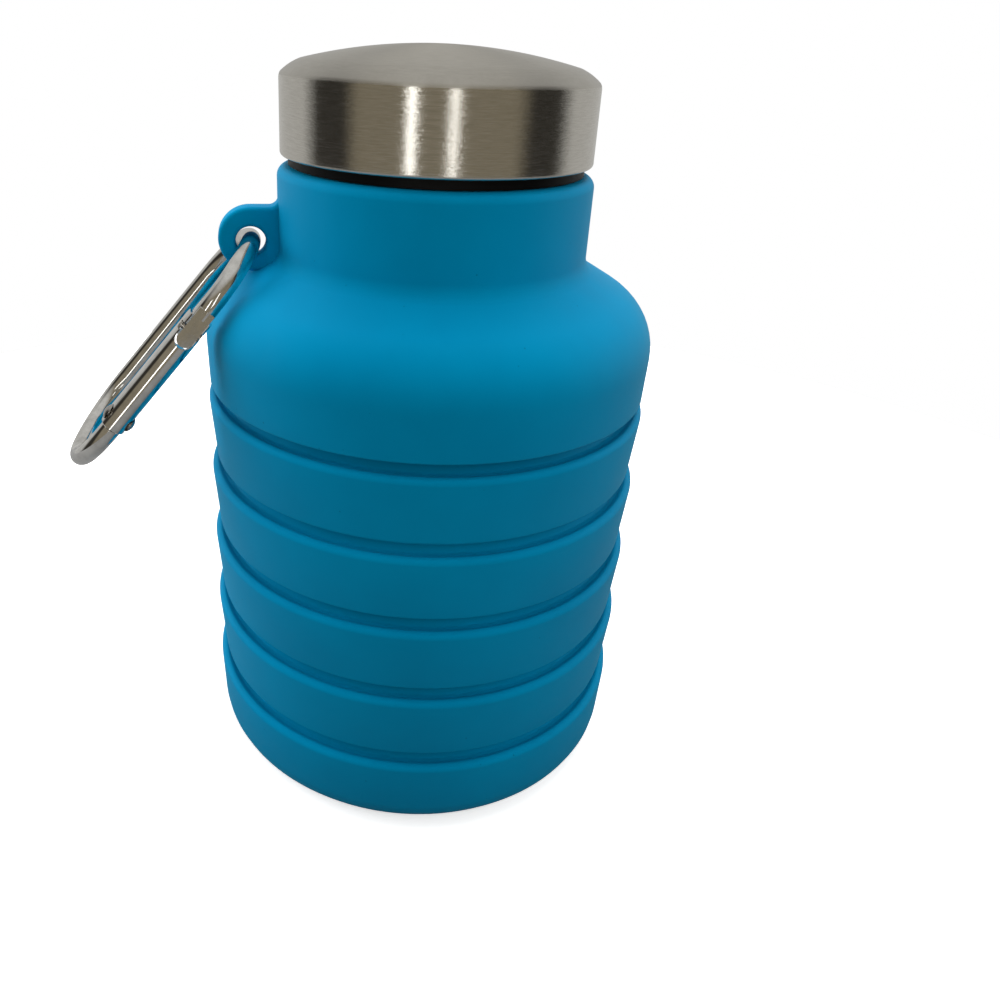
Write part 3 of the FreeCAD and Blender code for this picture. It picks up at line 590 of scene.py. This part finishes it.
def add_strip(name, heading, power):
    """Tall narrow softbox at a heading from the camera's side, seen in the lid's wall."""
    angle = CAMERA_SIDE + heading
    place = (STRIP_DISTANCE * math.sin(angle), -STRIP_DISTANCE * math.cos(angle), STRIP_HEIGHT)
    add_softbox(name, place, (0.035, 0.3), power, (0, 0, STRIP_HEIGHT), mirrored=True)


def add_studio():
    world = bpy.data.worlds.new("studio")
    bpy.context.scene.world = world
    world.use_nodes = True
    tree = world.node_tree
    tree.nodes.clear()

    def add(kind, inputs=None, **options):
        return add_node(tree, kind, inputs, **options)

    way = add("ShaderNodeSeparateXYZ", {0: add("ShaderNodeTexCoord").outputs["Generated"]}).outputs
    back = add("ShaderNodeMath", {0: way[1], 1: -1.0}, operation="MULTIPLY").outputs[0]
    angle = add("ShaderNodeMath", {0: way[0], 1: back}, operation="ARCTAN2").outputs[0]
    shifted = add("ShaderNodeMath", {0: angle, 1: -CAMERA_SIDE}, operation="ADD").outputs[0]
    wrapped = add("ShaderNodeMath", {0: shifted, 1: math.pi, 2: -math.pi}, operation="WRAP").outputs[0]
    either_side = add("ShaderNodeMath", {0: wrapped}, operation="ABSOLUTE").outputs[0]
    share = add("ShaderNodeMath", {0: either_side, 1: math.pi}, operation="DIVIDE").outputs[0]
    walls = add("ShaderNodeValToRGB", {0: share})
    ramp = walls.color_ramp
    for index, (degrees, colour) in enumerate(WALLS):
        stop = ramp.elements[index] if index < 2 else ramp.elements.new(degrees / 180)
        stop.position = degrees / 180
        stop.color = colour
    lift = add("ShaderNodeMapRange", {0: way[2], 1: 0.5, 2: 0.85}).outputs[0]
    level = add("ShaderNodeMix", {0: lift, 6: walls.outputs[0], 7: CEILING}, data_type="RGBA").outputs[2]
    seen = add("ShaderNodeLightPath").outputs["Is Camera Ray"]
    around = add("ShaderNodeBackground", {"Color": level, "Strength": 1.0})
    plain = add("ShaderNodeBackground", {"Color": (1, 1, 1, 1), "Strength": 1.0})
    both = add("ShaderNodeMixShader", {0: seen, 1: around.outputs[0], 2: plain.outputs[0]})
    add("ShaderNodeOutputWorld", {0: both.outputs[0]})


def build():
    body = silicone()
    make_rings(body)
    make_base(body)
    make_webs(body)
    make_neck(body)
    make_lid(brushed_steel())
    black = moulded_plastic("black_plastic", (0.003, 0.003, 0.003), (0.006, 0.006, 0.006))
    chrome = polished_plate("nickel_plate", (0.80, 0.79, 0.76), 0.08)
    fittings = polished_plate("plated_fittings", (0.52, 0.50, 0.47), 0.20)
    carried = {"neck_finish": black, "lid_liner": black, "lid_seal": milky_silicone(),
               "carabiner_frame": chrome, "gate": chrome, "gate_pivot_rivet": fittings,
               "gate_nose_pin": fittings, "gate_plunger": fittings, "gate_spring": fittings}
    for node, material in carried.items():
        dress(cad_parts[node], material)
    add_floor()
    add_studio()
    add_softbox("top_softbox", (0.04, 0.16, 0.6), (0.5, 0.5), 3.4)
    add_softbox("front_softbox", (0.06, -0.23, 0.24), (0.16, 0.12), 0.13, (0, 0, 0.10))
    add_softbox("left_softbox", (-0.38, 0.14, 0.16), (0.3, 0.3), 1.25)
    add_softbox("right_softbox", (0.42, -0.05, 0.16), (0.3, 0.3), 0.4)
    add_strip("left_strip", math.radians(-17), 0.095)
    add_strip("right_strip", math.radians(11), 0.07)
    add_camera()
    bpy.context.scene.view_settings.view_transform = "Standard"


build()
